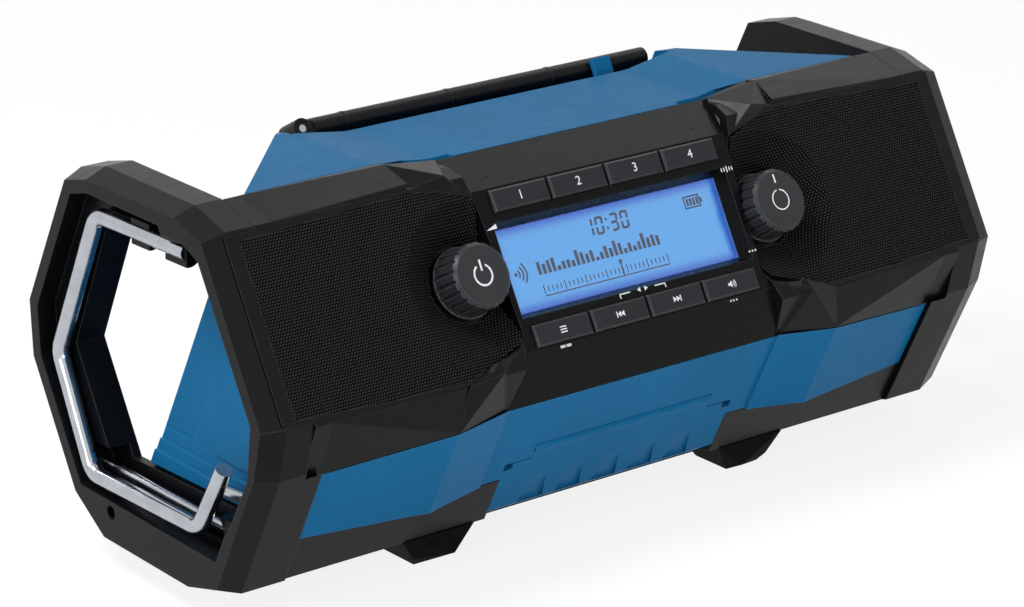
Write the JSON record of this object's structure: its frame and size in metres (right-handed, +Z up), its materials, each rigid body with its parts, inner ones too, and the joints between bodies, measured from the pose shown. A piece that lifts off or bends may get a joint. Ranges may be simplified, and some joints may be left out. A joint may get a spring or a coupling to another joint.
{
  "type": "jobsite radio",
  "caption": "Rugged portable radio with open guard rings at its ends, faceted bumpers, display, buttons, knobs, folding aerial, steel hook and battery door.",
  "frame": {"origin": "centre of the bounding box in plan, at the height of the floor the feet stand on", "axes": "+X along the body, from the end ring with the steel hook to the plain one; -Y to the front, where the speaker face leans back; +Z up"},
  "size_m": [0.356, 0.1566, 0.1534],
  "materials": {
    "black_plastic": "fine texture",
    "blue_plastic": "fine texture",
    "grey_plastic": "satin",
    "knob_plastic": "satin",
    "grille_metal": "perforated, powder coated",
    "bright_steel": "polished",
    "plain_steel": "plain",
    "clear_window": "clear",
    "display": "lit",
    "board": "lacquered",
    "foam": "open cell foam",
    "foot_rubber": "matt",
    "paper_cone": "pressed fibre and steel frame"
  },
  "bodies": {
    "radio_body": {"aerial_clip": "blue_plastic", "aerial_pin": "plain_steel", "aerial_pivot": "black_plastic", "base_skid": "black_plastic", "battery_pack": "black_plastic", "battery_tray": "black_plastic", "case_screws": "plain_steel", "control_panel": "grey_plastic", "display_lens": "clear_window", "display_module": "display", "door_hinge_pin": "plain_steel", "front_bezel": "black_plastic", "front_left_foot": "foot_rubber", "front_right_foot": "foot_rubber", "hook_boss": "black_plastic", "hook_clip": "black_plastic", "left_driver": "paper_cone", "left_end_ring": "black_plastic", "left_gasket": "foam", "left_grille": "grille_metal", "main_board": "board", "main_housing": "blue_plastic", "rear_left_foot": "foot_rubber", "rear_right_foot": "foot_rubber", "rest_bar": "bright_steel", "right_driver": "paper_cone", "right_end_ring": "black_plastic", "right_gasket": "foam", "right_grille": "grille_metal", "ring_screws": "plain_steel", "stop_pin": "bright_steel", "switch_board": "board", "terminal_block": "grey_plastic", "tuning_encoder": "plain_steel", "volume_encoder": "plain_steel"},
    "preset_button_1_body": {"preset_button_1": "grey_plastic"},
    "preset_button_2_body": {"preset_button_2": "grey_plastic"},
    "preset_button_3_body": {"preset_button_3": "grey_plastic"},
    "preset_button_4_body": {"preset_button_4": "grey_plastic"},
    "menu_button_1_body": {"menu_button_1": "grey_plastic"},
    "menu_button_2_body": {"menu_button_2": "grey_plastic"},
    "menu_button_3_body": {"menu_button_3": "grey_plastic"},
    "menu_button_4_body": {"menu_button_4": "grey_plastic"},
    "volume_shaft_body": {"volume_shaft": "plain_steel"},
    "volume_knob_body": {"volume_knob": "knob_plastic"},
    "tuning_shaft_body": {"tuning_shaft": "plain_steel"},
    "tuning_knob_body": {"tuning_knob": "knob_plastic"},
    "aerial_body": {"aerial_rod": "black_plastic"},
    "hook_body": {"hook_rod": "bright_steel"},
    "door_body": {"battery_door": "blue_plastic"}
  },
  "joints": [
    {"name": "preset_button_1_push", "type": "slide", "parent": "radio_body", "child": "preset_button_1_body", "axis": [0, 0.866, -0.5], "range_m": [0, 0.001], "stiffness_N_per_m": 1200},
    {"name": "preset_button_2_push", "type": "slide", "parent": "radio_body", "child": "preset_button_2_body", "axis": [0, 0.866, -0.5], "range_m": [0, 0.001], "stiffness_N_per_m": 1200},
    {"name": "preset_button_3_push", "type": "slide", "parent": "radio_body", "child": "preset_button_3_body", "axis": [0, 0.866, -0.5], "range_m": [0, 0.001], "stiffness_N_per_m": 1200},
    {"name": "preset_button_4_push", "type": "slide", "parent": "radio_body", "child": "preset_button_4_body", "axis": [0, 0.866, -0.5], "range_m": [0, 0.001], "stiffness_N_per_m": 1200},
    {"name": "menu_button_1_push", "type": "slide", "parent": "radio_body", "child": "menu_button_1_body", "axis": [0, 0.866, -0.5], "range_m": [0, 0.001], "stiffness_N_per_m": 1200},
    {"name": "menu_button_2_push", "type": "slide", "parent": "radio_body", "child": "menu_button_2_body", "axis": [0, 0.866, -0.5], "range_m": [0, 0.001], "stiffness_N_per_m": 1200},
    {"name": "menu_button_3_push", "type": "slide", "parent": "radio_body", "child": "menu_button_3_body", "axis": [0, 0.866, -0.5], "range_m": [0, 0.001], "stiffness_N_per_m": 1200},
    {"name": "menu_button_4_push", "type": "slide", "parent": "radio_body", "child": "menu_button_4_body", "axis": [0, 0.866, -0.5], "range_m": [0, 0.001], "stiffness_N_per_m": 1200},
    {"name": "volume_push", "type": "slide", "parent": "radio_body", "child": "volume_shaft_body", "axis": [0, 0.866, -0.5], "range_m": [0, 0.001], "stiffness_N_per_m": 2500},
    {"name": "volume_turn", "type": "hinge", "parent": "volume_shaft_body", "child": "volume_knob_body", "pos_m": [-0.0726, -0.06133, 0.11725], "axis": [0, -0.866, 0.5], "continuous": true},
    {"name": "tuning_push", "type": "slide", "parent": "radio_body", "child": "tuning_shaft_body", "axis": [0, 0.866, -0.5], "range_m": [0, 0.001], "stiffness_N_per_m": 2500},
    {"name": "tuning_turn", "type": "hinge", "parent": "tuning_shaft_body", "child": "tuning_knob_body", "pos_m": [0.0726, -0.06133, 0.11725], "axis": [0, -0.866, 0.5], "continuous": true},
    {"name": "aerial_swing", "type": "hinge", "parent": "radio_body", "child": "aerial_body", "pos_m": [-0.082, 0.03966, 0.14716], "axis": [0, -0.866, 0.5], "range_deg": [0, 120]},
    {"name": "hook_swing", "type": "hinge", "parent": "radio_body", "child": "hook_body", "pos_m": [-0.174, -0.00343, 0.13549], "axis": [0, 0.9998, -0.0205], "range_deg": [0, 120]},
    {"name": "door_swing", "type": "hinge", "parent": "radio_body", "child": "door_body", "pos_m": [0, -0.05533, 0.04223], "axis": [-1, 0, 0], "range_deg": [0, 100]}
  ]
}
